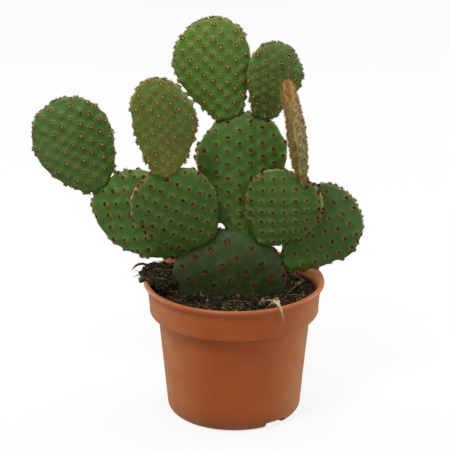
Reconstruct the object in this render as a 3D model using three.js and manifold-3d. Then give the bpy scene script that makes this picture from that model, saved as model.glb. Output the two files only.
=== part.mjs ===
// A potted paddle cactus: eleven flat pads growing out of one another, rooted in a nursery pot.
// Millimetres, +Z up. The origin is the centre of the pot's underside, and -Y is the plant's front.
import * as THREE from "three";
import { mergeVertices } from "three/addons/utils/BufferGeometryUtils.js";
import Module from "manifold-3d";

const wasm = await Module();
wasm.setup();

// ---- Driving dimensions ------------------------------------------------------------------------

// Free space kept between two pieces that touch.
const gap = 0.3;

// The pot. Heights are measured up from the surface it stands on. `lipOverhang`, `collarTaper`, `neckStep`
// and `wallTaper` are what its outer radius loses under the lip, down the collar, below it and down the wall.
const potHeight = 92;
const potWall = 1.6;
const lipRadius = 60;
const lipDepth = 3;
const collarDepth = 21;
const lipOverhang = 2.4;
const collarTaper = 1.4;
const neckStep = 5.6;
const wallTaper = 6;
const footRound = 6;
const floorHeight = 5;
const floorThickness = 2;
const centreDiscRadius = 14;
const drainHoleRadius = 3.5;
const drainHoleCount = 4;
const footNotchWidth = 16;
const footNotchHeight = 4.6;
const footNotchAngles = [-51, 129];
const potSides = 40;
const collarTopRadius = lipRadius - lipOverhang;
const collarFootRadius = collarTopRadius - collarTaper;
const neckRadius = collarFootRadius - neckStep;
const wallFootRadius = neckRadius - wallTaper;

// The soil, which rises to a low crown and drops a little at its edge, and what lies on it.
const soilBelowRim = 8;
const soilCrown = 2.5;
const crownRadius = 20;
const soilEdge = 8;
const moundSize = new THREE.Vector3(15, 19, 12);
const moundAngle = 172;
const moundRise = 2;
const rootLength = 34;
const rootRadius = 2.4;
const rootCount = 5;
const strandRadius = 1.0;
const strandAngle = -61;
const leafStalkRadius = 0.9;
const leafStalkSide = 6;

// How far the base pad's lower end lies under the soil's surface, and to the side of the pot's axis.
const buriedDepth = 30;
const basePadAside = -3.5;

// The pads, each grown before the ones that stand on it. Lengths are in mm and angles in degrees.
// A pad is widest at `widest` of its length and narrows to `neck` of its width where it grows from.
// `lean` tips it to the plant's right (+X), `pitch` tips it forwards, and `turn` turns it on its length.
// `sweep` moves its tip sideways and `bow` moves its tip forwards. A high `tipFullness` keeps the tip thick.
// `on` names the parent pad and the place on it: the share of the parent's length, the angle round the
// parent's section (0 at its right edge, 90 at its front), and how deep the neck sits in the parent.
// Every pad thins by `footThinning` towards its foot, which rounds over in `footClosing` of its length.
const padTable = [
  { name: "base_pad", length: 73, width: 77, thickness: 19, lean: 1, neck: 0.62, widest: 0.5, taper: 2.2 },
  {
    name: "centre_pad", length: 84, width: 58.5, thickness: 13, lean: -2.8, pitch: -5,
    neck: 0.2, widest: 0.64, taper: 1.7, sweep: 4.5,
    on: { pad: "base_pad", along: 0.985, round: 325, sink: 6 },
  },
  {
    name: "left_rear_pad", length: 76.5, width: 57, thickness: 12, lean: -59, pitch: -12,
    neck: 0.28, widest: 0.57, taper: 2, sweep: -3,
    on: { pad: "base_pad", along: 0.815, round: 217, sink: 2.5 },
  },
  {
    name: "left_front_pad", length: 66, width: 55, thickness: 12, lean: -28, pitch: 18,
    neck: 0.4, widest: 0.64, taper: 2.2,
    on: { pad: "base_pad", along: 0.889, round: 148, sink: 2.5 },
  },
  {
    name: "right_front_pad", length: 59.5, width: 51, thickness: 12, lean: 27, pitch: 16,
    neck: 0.2, widest: 0.65, taper: 2.2, sweep: -4,
    on: { pad: "base_pad", along: 0.889, round: 31, sink: 0.5 },
  },
  {
    name: "right_rear_pad", length: 64.5, width: 54, thickness: 12, lean: 49.5, pitch: -10,
    neck: 0.14, widest: 0.6, taper: 1.4, sweep: -4,
    on: { pad: "base_pad", along: 0.66, round: 350, sink: 2 },
  },
  {
    name: "top_pad", length: 67.5, width: 50.5, thickness: 11, lean: -17, pitch: -4,
    neck: 0.24, widest: 0.62, taper: 1.8, sweep: 3,
    on: { pad: "centre_pad", along: 0.979, round: 170, sink: 2.5 },
  },
  {
    name: "top_right_pad", length: 51, width: 40.5, thickness: 10, lean: 19.5, pitch: -4, turn: 25,
    neck: 0.31, widest: 0.61, taper: 1.8, sweep: -7,
    on: { pad: "centre_pad", along: 0.962, round: 2, sink: 1.5 },
  },
  {
    name: "upper_left_pad", length: 66, width: 43, thickness: 10, lean: 6, pitch: 4, turn: 22,
    neck: 0.32, widest: 0.61, taper: 1.9, sweep: -13,
    on: { pad: "left_front_pad", along: 0.97, round: 50, sink: 2.5 },
  },
  {
    name: "far_left_pad", length: 67, width: 54.5, thickness: 11, lean: -27, pitch: -4,
    neck: 0.24, widest: 0.6, taper: 1.9,
    on: { pad: "left_rear_pad", along: 0.99, round: 85, sink: 2 },
  },
  {
    name: "edge_on_pad", length: 67, width: 40, thickness: 9, lean: -5, pitch: 4, turn: 89,
    neck: 0.34, widest: 0.55, taper: 1.9, bow: -4, tipFullness: 6,
    on: { pad: "right_front_pad", along: 0.992, round: 60, sink: 2.5 },
  },
];
const footThinning = 0.25;
const footClosing = 0.05;
const padRings = 12;
const padSides = 18;

// ---- Materials ---------------------------------------------------------------------------------

function matt(colour, roughness) {
  return new THREE.MeshStandardMaterial({ color: colour, roughness, metalness: 0 });
}
const terracottaPlastic = matt(0x99502f, 0.45);
const darkSoil = matt(0x2b2619, 0.95);
const rootSkin = matt(0xb89a6a, 0.8);
const deadRoot = matt(0xd2bd8c, 0.8);
const deadLeaf = matt(0x4a3d2b, 0.85);
const oldGreen = matt(0x3c5a3a, 0.6);
const padGreen = matt(0x3f6b2a, 0.55);
const youngGreen = matt(0x66702e, 0.6);
const padMaterials = {
  base_pad: oldGreen,
  upper_left_pad: youngGreen,
  edge_on_pad: youngGreen,
};

// ---- Solids ------------------------------------------------------------------------------------

function toSolid(geometry) {
  const bare = geometry.clone();
  bare.deleteAttribute("normal");
  bare.deleteAttribute("uv");
  const merged = mergeVertices(bare, 1e-4);
  const corners = merged.index.array;
  const triangles = [];
  for (let i = 0; i < corners.length; i += 3) {
    const [a, b, c] = corners.slice(i, i + 3);
    if (a !== b && b !== c && c !== a) triangles.push(a, b, c);
  }
  return new wasm.Manifold(
    new wasm.Mesh({
      numProp: 3,
      vertProperties: merged.attributes.position.array,
      triVerts: new Uint32Array(triangles),
    }),
  );
}

function toGeometry(solid) {
  const mesh = solid.getMesh();
  const geometry = new THREE.BufferGeometry();
  geometry.setAttribute("position", new THREE.BufferAttribute(mesh.vertProperties, 3));
  geometry.setIndex(new THREE.BufferAttribute(mesh.triVerts, 1));
  geometry.computeVertexNormals();
  return geometry;
}

function moved(geometry, matrix) {
  return geometry.clone().applyMatrix4(matrix);
}

function cutBy(solid, cutters) {
  return cutters.reduce((left, cutter) => left.subtract(cutter), solid);
}

// A solid of revolution about Z. The profile's points are [radius, height], from the axis out and back.
function turned(points, sides) {
  const profile = points.map(([radius, height]) => new THREE.Vector2(radius, height));
  return new THREE.LatheGeometry(profile, sides).rotateX(Math.PI / 2);
}

// Points of a quarter-round corner from the angle `from` to `to`, in degrees.
function arc(radius, height, round, from, to, steps) {
  const points = [];
  for (let i = 0; i <= steps; i += 1) {
    const angle = THREE.MathUtils.degToRad(from + ((to - from) * i) / steps);
    points.push([radius + round * Math.cos(angle), height + round * Math.sin(angle)]);
  }
  return points;
}

// A round stalk along a smooth curve, with its own radius at each point of the route.
function stalk(route, radii, sides, steps, extra = 0) {
  const curve = new THREE.CatmullRomCurve3(route);
  const frames = curve.computeFrenetFrames(steps, false);
  const positions = [];
  const radiusAt = (share) => {
    const place = share * (radii.length - 1);
    const before = Math.min(Math.floor(place), radii.length - 2);
    return THREE.MathUtils.lerp(radii[before], radii[before + 1], place - before) + extra;
  };
  for (let i = 0; i <= steps; i += 1) {
    const centre = curve.getPoint(i / steps);
    const radius = radiusAt(i / steps);
    for (let j = 0; j < sides; j += 1) {
      const angle = (j / sides) * 2 * Math.PI;
      const point = centre
        .clone()
        .addScaledVector(frames.normals[i], radius * Math.cos(angle))
        .addScaledVector(frames.binormals[i], radius * Math.sin(angle));
      positions.push(point.x, point.y, point.z);
    }
  }
  const index = [];
  for (let i = 0; i < steps; i += 1) {
    for (let j = 0; j < sides; j += 1) {
      const a = i * sides + j;
      const b = i * sides + ((j + 1) % sides);
      index.push(a, b, b + sides, a, b + sides, a + sides);
    }
  }
  for (let j = 1; j < sides - 1; j += 1) {
    const last = steps * sides;
    index.push(0, j + 1, j, last, last + j, last + j + 1);
  }
  const geometry = new THREE.BufferGeometry();
  geometry.setAttribute("position", new THREE.Float32BufferAttribute(positions, 3));
  geometry.setIndex(index);
  return geometry;
}

// ---- Pads --------------------------------------------------------------------------------------

// A point on a pad's skin, in the pad's own frame: its length along +Z, its width along X, its front -Y.
// `extra` grows the pad outwards all over.
function padPoint(pad, along, round, extra = 0) {
  const { length, width, thickness, neck, widest, taper, sweep = 0, bow = 0, tipFullness = 2.6 } = pad;
  const past = (along - widest) / (1 - widest);
  const before = (widest - along) / widest;
  const isUpper = along >= widest;
  const widthShare = isUpper ? Math.sqrt(1 - Math.min(past, 1) ** 2) : 1 - (1 - neck) * before ** taper;
  const thickShare = isUpper ? Math.sqrt(1 - Math.min(past, 1) ** tipFullness) : 1 - footThinning * before ** 2;
  const closing = Math.sqrt(1 - (1 - Math.min(along / footClosing, 1)) ** 2);
  const isPole = along <= 0 || along >= 1;
  const halfWidth = isPole ? 0 : (widthShare * closing * width) / 2 + extra;
  const halfThickness = isPole ? 0 : (thickShare * closing * thickness) / 2 + extra;
  return new THREE.Vector3(
    halfWidth * Math.cos(round) + sweep * along ** 2,
    -halfThickness * Math.sin(round) - bow * along ** 2,
    along * length + extra * (2 * along - 1),
  );
}

function padGeometry(pad, extra = 0) {
  const geometry = new THREE.SphereGeometry(1, padSides, padRings);
  geometry.rotateX(Math.PI / 2);
  const position = geometry.attributes.position;
  for (let i = 0; i < position.count; i += 1) {
    const along = THREE.MathUtils.clamp((1 + position.getZ(i)) / 2, 0, 1);
    const round = Math.atan2(-position.getY(i), position.getX(i));
    const point = padPoint(pad, along < 1e-6 ? 0 : along > 1 - 1e-6 ? 1 : along, round, extra);
    position.setXYZ(i, point.x, point.y, point.z);
  }
  return geometry;
}

// A pad's pose: its neck's place and its turns, as a matrix from the pad's frame to the part's.
function padPose(pad, grown) {
  const turns = new THREE.Euler(
    THREE.MathUtils.degToRad(pad.pitch ?? 0),
    THREE.MathUtils.degToRad(pad.lean ?? 0),
    THREE.MathUtils.degToRad(pad.turn ?? 0),
    "YXZ",
  );
  const pose = new THREE.Matrix4().makeRotationFromEuler(turns);
  const root = new THREE.Vector3(basePadAside, 0, potHeight - soilBelowRim - buriedDepth);
  if (pad.on) {
    const { pad: parentName, along, round, sink } = pad.on;
    const parent = grown.get(parentName);
    root.copy(padPoint(parent.pad, along, THREE.MathUtils.degToRad(round)));
    root.applyMatrix4(parent.pose);
    root.addScaledVector(new THREE.Vector3(0, 0, 1).transformDirection(pose), -sink);
  }
  return pose.setPosition(root);
}

// Grows every pad in turn, each cut clear of all those grown before it.
function growPads() {
  const grown = new Map();
  for (const pad of padTable) {
    const pose = padPose(pad, grown);
    const cutters = [...grown.values()].map((earlier) => earlier.cutter);
    const whole = toSolid(moved(padGeometry(pad), pose));
    const solid = cutBy(whole, cutters);
    const cutter = toSolid(moved(padGeometry(pad, gap), pose));
    grown.set(pad.name, { pad, pose, solid, cutter });
  }
  return grown;
}

// ---- Pot ---------------------------------------------------------------------------------------

// The inner wall's radius at a height, on the straight wall below the collar.
const wallTop = potHeight - collarDepth;
const wallFoot = footRound + 2;
const innerNeckRadius = neckRadius - potWall;
const innerFootRadius = wallFootRadius - potWall;
const collarStep = 3;

function potOutline() {
  const rollRadius = lipDepth / 2;
  const footCentre = wallFootRadius - footRound;
  return [
    [0, 0],
    [centreDiscRadius, 0],
    [centreDiscRadius + 1, floorHeight - floorThickness],
    [footCentre - 1.5, floorHeight - floorThickness],
    [footCentre - 1, 0],
    ...arc(footCentre, wallFoot - 2, footRound, -90, -8, 4),
    [neckRadius, wallTop - 2],
    [collarFootRadius - 3, wallTop - 1],
    [collarFootRadius, wallTop + collarStep],
    [collarTopRadius, potHeight - lipDepth - 0.6],
    ...arc(lipRadius - rollRadius, potHeight - rollRadius, rollRadius, -60, 90, 5),
    [lipRadius - rollRadius - 1.5, potHeight - 0.4],
    [collarTopRadius - potWall, potHeight - lipDepth],
    [collarFootRadius - potWall, wallTop + collarStep + 1],
    [innerNeckRadius + 1, wallTop + 1],
    [innerNeckRadius, wallTop - 2],
    [innerFootRadius, wallFoot + 1],
    [innerFootRadius - 2.5, floorHeight],
    [centreDiscRadius - 1, floorHeight],
    [centreDiscRadius - 2, floorThickness],
    [0, floorThickness],
  ];
}

function potSolid() {
  const cutters = [];
  for (let i = 0; i < drainHoleCount; i += 1) {
    const angle = ((i + 0.5) / drainHoleCount) * 2 * Math.PI;
    const hole = new THREE.CylinderGeometry(drainHoleRadius, drainHoleRadius, 4 * floorHeight, 12);
    hole.rotateX(Math.PI / 2);
    const ringRadius = (centreDiscRadius + wallFootRadius - footRound) / 2;
    hole.translate(ringRadius * Math.cos(angle), ringRadius * Math.sin(angle), 0);
    cutters.push(toSolid(hole));
  }
  for (const angle of footNotchAngles) {
    const notch = new THREE.BoxGeometry(4 * footRound, footNotchWidth, 2 * footNotchHeight);
    notch.translate(wallFootRadius, 0, 0);
    notch.rotateZ(THREE.MathUtils.degToRad(angle));
    cutters.push(toSolid(notch));
  }
  return cutBy(toSolid(turned(potOutline(), potSides)), cutters);
}

// ---- Soil, roots and what lies on them ---------------------------------------------------------

const soilLevel = potHeight - soilBelowRim;

function soilGeometry(extra = 0) {
  const clear = gap - extra;
  const collarInside = collarFootRadius - potWall;
  return turned(
    [
      [0, floorThickness + clear],
      [centreDiscRadius - 2 - clear, floorThickness + clear],
      [centreDiscRadius - 1 - clear, floorHeight + clear],
      [innerFootRadius - 2.6 - clear, floorHeight + clear],
      [innerFootRadius - clear, wallFoot + 1 + clear],
      [innerNeckRadius - clear, wallTop - 2],
      [innerNeckRadius + 1 - clear, wallTop + 1 + clear],
      [collarInside - clear, wallTop + collarStep + 1 + clear],
      [collarInside - clear, soilLevel - 1 + extra],
      [collarInside - soilEdge, soilLevel + extra],
      [crownRadius, soilLevel + soilCrown * 0.7 + extra],
      [0, soilLevel + soilCrown + extra],
    ],
    potSides,
  );
}

// The lump of old root ball at the pot's left edge: an egg with a broken, uneven surface.
function moundGeometry() {
  const geometry = new THREE.SphereGeometry(1, 16, 12);
  geometry.rotateX(Math.PI / 2);
  const position = geometry.attributes.position;
  const place = THREE.MathUtils.degToRad(moundAngle);
  const reach = lipRadius - moundSize.x * 0.72;
  const centre = new THREE.Vector3(
    reach * Math.cos(place),
    reach * Math.sin(place),
    soilLevel + moundRise + moundSize.z * 0.45,
  );
  for (let i = 0; i < position.count; i += 1) {
    const point = new THREE.Vector3().fromBufferAttribute(position, i);
    const lumps = Math.sin(5 * point.x + 1) * Math.sin(4 * point.y) * Math.sin(6 * point.z + 2);
    point.multiplyScalar(1 + 0.12 * lumps).multiply(moundSize).add(centre);
    position.setXYZ(i, point.x, point.y, point.z);
  }
  return geometry;
}

// The space round the rim that the mound keeps clear of, closed below the rim's top.
function rimClearance() {
  const inside = collarFootRadius - potWall - gap;
  const outside = lipRadius + 2 * moundSize.x;
  return turned(
    [
      [inside, 0],
      [outside, 0],
      [outside, potHeight + gap],
      [inside, potHeight + gap],
      [inside, 0],
    ],
    potSides,
  );
}

// The roots spread and sink from the base pad's buried end.
function rootsSolid(basePad, extra = 0) {
  const start = new THREE.Vector3(0, 0, 2).applyMatrix4(basePad.pose);
  const crown = new THREE.SphereGeometry(rootRadius * 2.2 + extra, 12, 8);
  crown.translate(start.x, start.y, start.z - rootRadius);
  let solid = toSolid(crown);
  for (let i = 0; i < rootCount; i += 1) {
    const angle = ((i + 0.3) / rootCount) * 2 * Math.PI;
    const out = new THREE.Vector3(Math.cos(angle), Math.sin(angle), 0);
    const down = new THREE.Vector3(0, 0, -1);
    const drop = 0.55 + 0.2 * Math.sin(3 * i);
    const route = [0, 0.35, 0.7, 1].map((share) =>
      start
        .clone()
        .addScaledVector(down, rootRadius + rootLength * drop * share ** 1.4)
        .addScaledVector(out, rootLength * 0.75 * share)
        .addScaledVector(new THREE.Vector3(-out.y, out.x, 0), 4 * Math.sin(3 * share + i)),
    );
    const radii = [rootRadius, rootRadius * 0.75, rootRadius * 0.5, rootRadius * 0.25];
    solid = solid.add(toSolid(stalk(route, radii, 6, 7, extra)));
  }
  return solid;
}

// The dead root lies on the soil, climbs the rim at the front right and hangs down outside it.
function strandGeometry() {
  const angle = THREE.MathUtils.degToRad(strandAngle);
  const at = (radius, height, aside) =>
    new THREE.Vector3(
      radius * Math.cos(angle) - aside * Math.sin(angle),
      radius * Math.sin(angle) + aside * Math.cos(angle),
      height,
    );
  const clear = gap + strandRadius;
  const overRim = potHeight + clear;
  const outside = lipRadius + clear;
  const route = [
    at(lipRadius - 14, soilLevel + clear + 1.6, 7),
    at(lipRadius - 8, soilLevel + clear + 3.4, 3.5),
    at(lipRadius - 4.2, overRim - 0.6, 1),
    at(lipRadius - 1, overRim + 0.4, 0),
    at(outside + 0.3, potHeight - 1.2, 0),
    at(outside + 0.6, potHeight - 5, 0.8),
    at(outside + 0.2, potHeight - 10, 2.6),
  ];
  const radii = [0.55, 0.8, 1, 1, 0.95, 0.7, 0.25].map((share) => share * strandRadius);
  return stalk(route, radii, 8, 22);
}

// The dried leaf stalk sticks out of the mound, over the pot's left edge, and droops at its end.
function leafStalkGeometry(extra = 0) {
  const top = soilLevel + moundRise + moundSize.z;
  const at = (radius, height, aside) => new THREE.Vector3(-radius, leafStalkSide + aside, top + height);
  const route = [
    at(lipRadius - 7, -1, 0),
    at(lipRadius - 3, 1, 0),
    at(lipRadius + 2, 3, -2),
    at(lipRadius + 5, 2.4, -4),
    at(lipRadius + 7.5, 0, -6),
  ];
  const radii = [0.7, 1, 0.95, 0.8, 0.25].map((share) => share * leafStalkRadius);
  return stalk(route, radii, 6, 12, extra);
}

// ---- Assembly ----------------------------------------------------------------------------------

const group = new THREE.Group();
group.name = "potted_paddle_cactus";

// Adds a piece. `pose`, where given, places the mesh in the frame that the piece is drawn in.
function addPiece(name, solid, material, pose = new THREE.Matrix4()) {
  const geometry = toGeometry(solid).applyMatrix4(pose.clone().invert());
  const mesh = new THREE.Mesh(geometry, material);
  mesh.name = name;
  pose.decompose(mesh.position, mesh.quaternion, mesh.scale);
  group.add(mesh);
}

const pads = growPads();
const padCutters = [...pads.values()].map((grown) => grown.cutter);
const basePad = pads.get("base_pad");
const pot = potSolid();
const roots = rootsSolid(basePad).subtract(basePad.cutter);
const rootsCutter = rootsSolid(basePad, gap);
const soil = cutBy(toSolid(soilGeometry()), [basePad.cutter, rootsCutter]);
const leafStalk = toSolid(leafStalkGeometry());
const leafStalkCutter = toSolid(leafStalkGeometry(gap));

// The mound is cut to the soil it lies on, the rim it leans over and the pads that it meets.
const mound = cutBy(toSolid(moundGeometry()), [
  toSolid(rimClearance()),
  toSolid(soilGeometry(gap)),
  leafStalkCutter,
  ...padCutters,
]);

addPiece("pot", pot, terracottaPlastic);
addPiece("soil", soil, darkSoil);
addPiece("soil_mound", mound, darkSoil);
addPiece("dead_leaf", leafStalk, deadLeaf);
addPiece("root_strand", toSolid(strandGeometry()), deadRoot);
addPiece("roots", roots, rootSkin);
for (const [name, { solid, pose }] of pads) {
  addPiece(name, solid, padMaterials[name] ?? padGreen, pose);
}

export default group;
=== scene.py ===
"""The looks of a potted paddle cactus, built round its packed design.

Lengths are in millimetres until a mesh is made, and in metres after that. +Z is up and -Y is the front.
The pads repeat the design's own sizes, because their skin is drawn from the same rule at a finer pitch.
"""

import math

import bmesh
import bpy
import numpy as np
from mathutils import Matrix, Vector


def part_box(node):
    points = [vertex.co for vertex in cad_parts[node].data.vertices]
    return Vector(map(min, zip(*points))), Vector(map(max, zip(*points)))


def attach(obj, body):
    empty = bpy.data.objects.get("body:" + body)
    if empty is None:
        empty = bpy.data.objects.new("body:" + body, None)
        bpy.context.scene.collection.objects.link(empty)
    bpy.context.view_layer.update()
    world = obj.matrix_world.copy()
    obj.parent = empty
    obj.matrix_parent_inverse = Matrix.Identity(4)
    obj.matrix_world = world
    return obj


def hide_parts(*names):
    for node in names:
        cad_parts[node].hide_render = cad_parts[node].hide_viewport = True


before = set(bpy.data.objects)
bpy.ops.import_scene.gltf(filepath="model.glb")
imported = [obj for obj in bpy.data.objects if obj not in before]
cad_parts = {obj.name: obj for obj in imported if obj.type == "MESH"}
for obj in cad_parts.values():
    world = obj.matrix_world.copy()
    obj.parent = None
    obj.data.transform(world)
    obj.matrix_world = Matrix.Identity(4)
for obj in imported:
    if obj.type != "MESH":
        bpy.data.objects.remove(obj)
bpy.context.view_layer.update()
MM = 0.001


# ---- Sizes -------------------------------------------------------------------------------------

# Each pad is widest at `widest` of its length and narrows to `neck` of its width where it grows from.
# `lean`, `pitch` and `turn` are degrees. `sweep` and `bow` move its tip sideways and forwards.
# A high `tip_fullness` keeps the tip thick. Every pad thins by FOOT_THINNING towards its foot, which rounds
# over in FOOT_CLOSING of its length. `on` is the parent pad, the share of its length, the angle round its
# section and the neck's depth in it.
PADS = {
    "base_pad": dict(length=73, width=77, thickness=19, lean=1, neck=0.62, widest=0.5, taper=2.2),
    "centre_pad": dict(
        length=84, width=58.5, thickness=13, lean=-2.8, pitch=-5, neck=0.2, widest=0.64, taper=1.7,
        sweep=4.5, on=("base_pad", 0.985, 325, 6)),
    "left_rear_pad": dict(
        length=76.5, width=57, thickness=12, lean=-59, pitch=-12, neck=0.28, widest=0.57, taper=2,
        sweep=-3, on=("base_pad", 0.815, 217, 2.5)),
    "left_front_pad": dict(
        length=66, width=55, thickness=12, lean=-28, pitch=18, neck=0.4, widest=0.64, taper=2.2,
        on=("base_pad", 0.889, 148, 2.5)),
    "right_front_pad": dict(
        length=59.5, width=51, thickness=12, lean=27, pitch=16, neck=0.2, widest=0.65, taper=2.2,
        sweep=-4, on=("base_pad", 0.889, 31, 0.5)),
    "right_rear_pad": dict(
        length=64.5, width=54, thickness=12, lean=49.5, pitch=-10, neck=0.14, widest=0.6, taper=1.4,
        sweep=-4, on=("base_pad", 0.66, 350, 2)),
    "top_pad": dict(
        length=67.5, width=50.5, thickness=11, lean=-17, pitch=-4, neck=0.24, widest=0.62, taper=1.8,
        sweep=3, on=("centre_pad", 0.979, 170, 2.5)),
    "top_right_pad": dict(
        length=51, width=40.5, thickness=10, lean=19.5, pitch=-4, turn=25, neck=0.31, widest=0.61,
        taper=1.8, sweep=-7, on=("centre_pad", 0.962, 2, 1.5)),
    "upper_left_pad": dict(
        length=66, width=43, thickness=10, lean=6, pitch=4, turn=22, neck=0.32, widest=0.61,
        taper=1.9, sweep=-13, on=("left_front_pad", 0.97, 50, 2.5)),
    "far_left_pad": dict(
        length=67, width=54.5, thickness=11, lean=-27, pitch=-4, neck=0.24, widest=0.6, taper=1.9,
        on=("left_rear_pad", 0.99, 85, 2)),
    "edge_on_pad": dict(
        length=67, width=40, thickness=9, lean=-5, pitch=4, turn=89, neck=0.34, widest=0.55,
        taper=1.9, bow=-4, tip_fullness=6, on=("right_front_pad", 0.992, 60, 2.5)),
}

# How each pad's areoles lie and look. `steps` are the ways to the next areoles in the two rows that cross
# there, as (across, along) the pad. `rim` is the distance between the areoles on the pad's edge.
# `crowd` is how much closer they stand at the tip. `size` is a tuft's radius and `rise` is how far the skin
# swells under it. `kind` is a row of TUFTS and `skin` a row of SKINS.
# `cork` lists scarred places: share of the length, angle round the section, radius.
AREOLES = {
    "base_pad": dict(
        steps=((-6.3, 10.0), (10.1, 5.4)), rim=10, size=1.9, rise=0.5, kind="rust", skin="old"),
    "centre_pad": dict(
        steps=((-7.3, 4.6), (7.6, 4.5)), rim=5.2, crowd=0.6, size=1.45, rise=1.0, kind="dark",
        skin="middle", cork=[(0.62, 180, 4), (0.7, 180, 3)]),
    "left_rear_pad": dict(
        steps=((-4.8, 6.0), (6.1, 5.6)), rim=5.2, crowd=0.6, size=1.35, rise=0.9, kind="dark",
        skin="middle", cork=[(0.86, 180, 3.5), (0.93, 185, 3)]),
    "left_front_pad": dict(
        steps=((-4.3, 6.5), (7.2, 5.0)), rim=5.4, crowd=0.9, size=1.35, rise=0.85, kind="dark",
        skin="middle",
        cork=[(0.94, 168, 2.6), (0.88, 174, 2.2), (0.8, 178, 3), (0.72, 178, 2.2), (0.6, 180, 2)]),
    "right_front_pad": dict(
        steps=((-3.6, 7.1), (6.1, 4.0)), rim=5, crowd=1.0, size=1.3, rise=0.85, kind="dark",
        skin="middle", cork=[(0.82, 4, 2.4), (0.72, 2, 2), (0.9, 8, 2)]),
    "right_rear_pad": dict(
        steps=((-8.9, 0.9), (3.6, 7.8)), rim=5.6, crowd=0.4, size=1.35, rise=0.85, kind="dark",
        skin="deep", cork=[(0.97, 175, 2.2)]),
    "top_pad": dict(
        steps=((-3.2, 5.7), (6.1, 2.9)), rim=4.2, crowd=0.25, size=1.15, rise=1.0, kind="tan",
        skin="fresh"),
    "top_right_pad": dict(
        steps=((-2.2, 5.7), (4.2, 4.1)), rim=3.7, crowd=0.3, size=1.1, rise=0.85, kind="tan",
        skin="middle"),
    "upper_left_pad": dict(
        steps=((-5.4, 3.9), (3.8, 4.0)), rim=3.5, crowd=0.3, size=1.1, rise=0.8, kind="pale",
        skin="young", cork=[(0.02, 90, 3)]),
    "far_left_pad": dict(
        steps=((-4.4, 5.4), (7.4, 2.2)), rim=4.4, crowd=0.15, size=1.15, rise=0.95, kind="tan",
        skin="middle"),
    "edge_on_pad": dict(
        steps=((-4.0, 3.6), (4.0, 3.6)), rim=3.4, crowd=3.0, size=1.1, rise=0.6, kind="amber",
        skin="corky", cork=[(0.78, 5, 3), (0.7, 2, 4), (0.62, 0, 4), (0.54, 0, 4), (0.46, 0, 3)]),
}

# How every pad is shaped, planted and skinned.
TIP_FULLNESS = 2.6
FOOT_THINNING = 0.25
FOOT_CLOSING = 0.05
BURIED = 30
BASE_ASIDE = -3.5
SKIN_PITCH = 0.6

# The skin swells by SWELL times the pad's `rise` over each areole, which sits in a small dimple.
# SWELL_REACH is a share of the areoles' spacing and DIMPLE_REACH a share of their size.
SWELL = 1.2
SWELL_REACH = 0.34
SWELL_LIMIT = 1.25
SWELL_FLOOR = 0.45
DIMPLE = 0.25
DIMPLE_REACH = 0.7
NECK_CREASES = 0.28
NECK_SINK = 0.2
SCAR_CREASES = 0.25
SCAR_SINK = 0.1

# Unevenness, in layers of height, wavelength and number of waves.
PAD_WAVES = ((0.55, 34, 14), (0.12, 7, 14))
GRAIN_WAVES = ((0.05, 2.2, 24),)
POT_WAVES = ((0.22, 60, 14), (0.06, 16, 14))
SOIL_WAVES = ((1.2, 17, 14), (0.9, 6, 14), (0.5, 2.6, 26))
MOUND_WAVES = ((1.1, 9, 14), (0.8, 4, 20), (0.35, 1.9, 24))
ROOT_WAVES = ((0.25, 3, 20),)

# How far areoles stray: along the rim in shares of a step, round the rim in radians, on a face in mm.
RIM_STRAY = 0.3
RIM_ROUND = 0.55
FACE_STRAY = 0.4
FACE_CENTRE = 0.55
CROWD_FROM = 0.72
CROWD_FULL = 0.97
SITES_ABOVE_SOIL = 3
SITES_OFF_PADS = 1.2

# Felt and glochids.
FELT_RADIUS = 0.95
GLOCHID_THICKNESS = 0.12
GLOCHID_SPREAD = 0.7
AREOLE_LEAN = 0.3
AREOLE_STRAY = 0.07

# The pot.
POT_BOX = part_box("pot")
POT_HEIGHT = POT_BOX[1].z / MM
LIP_RADIUS = POT_BOX[1].x / MM
POT_WALL = 1.6
LIP_DEPTH = 3
COLLAR_DEPTH = 21
COLLAR_STEP = 3
COLLAR_TOP = 57.6
COLLAR_FOOT = 56.2
NECK_RADIUS = 50.6
WALL_FOOT = 44.6
WALL_TOP = POT_HEIGHT - COLLAR_DEPTH
FOOT_ROUND = 6
FLOOR_HEIGHT = 5
FLOOR_THICKNESS = 2
DISC_RADIUS = 14
HOLE_RADIUS = 3.5
HOLES = 4
HOLE_SIDES = 40
NOTCH_WIDTH = 16
NOTCH_HEIGHT = 4.6
NOTCH_ANGLES = (-51, 129)
POT_STEPS = 240
POT_PITCH = 2.2
EVEN_BELOW = 8
UNEVEN_ABOVE = 20
SHARP_EDGE = 34
CLEARANCE = 0.3

# The soil, its heap and the crumbled mound.
SOIL_BELOW_RIM = 8
SOIL_LEVEL = POT_HEIGHT - SOIL_BELOW_RIM
SOIL_CROWN = 2.5
SOIL_SINK = 0.8
SOIL_RIM = COLLAR_FOOT - POT_WALL - CLEARANCE
SOIL_STEPS = 300
SOIL_PITCH = 0.9
HEAP_PLACE = (41, 8)
HEAP_RADIUS = 10
HEAP_HEIGHT = 5
MOUND_RISE = 2
MOUND_HEIGHT = 12
MOUND_SLUMP = 0.3
MOUND_PITCH = 0.6
MOUND_SINK = 0.6
ROOT_PITCH = 0.7

# What lies on the soil: name, spacing, smallest and largest radius, number to the square metre, skin.
LUMPS = (
    ("clods", 2.6, 0.6, 2.3, 6.5e4, "clods"),
    ("grit", 1.1, 0.25, 0.8, 2.6e5, "clods"),
    ("perlite", 6.5, 0.4, 1.1, 4e3, "perlite"))
FIBRE_SPACING = 2.5
FIBRE_LENGTH = 9
FIBRE_THICKNESS = 0.2
FIBRES_PER_METRE = 4e4
LITTER_DEPTH = 6
LITTER_OFF_WALL = 1.2
LITTER_OFF_PADS = 0.5
MOUND_DENSITY = 1.3
SOIL_SEED = 40
MOUND_SEED = 60

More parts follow.
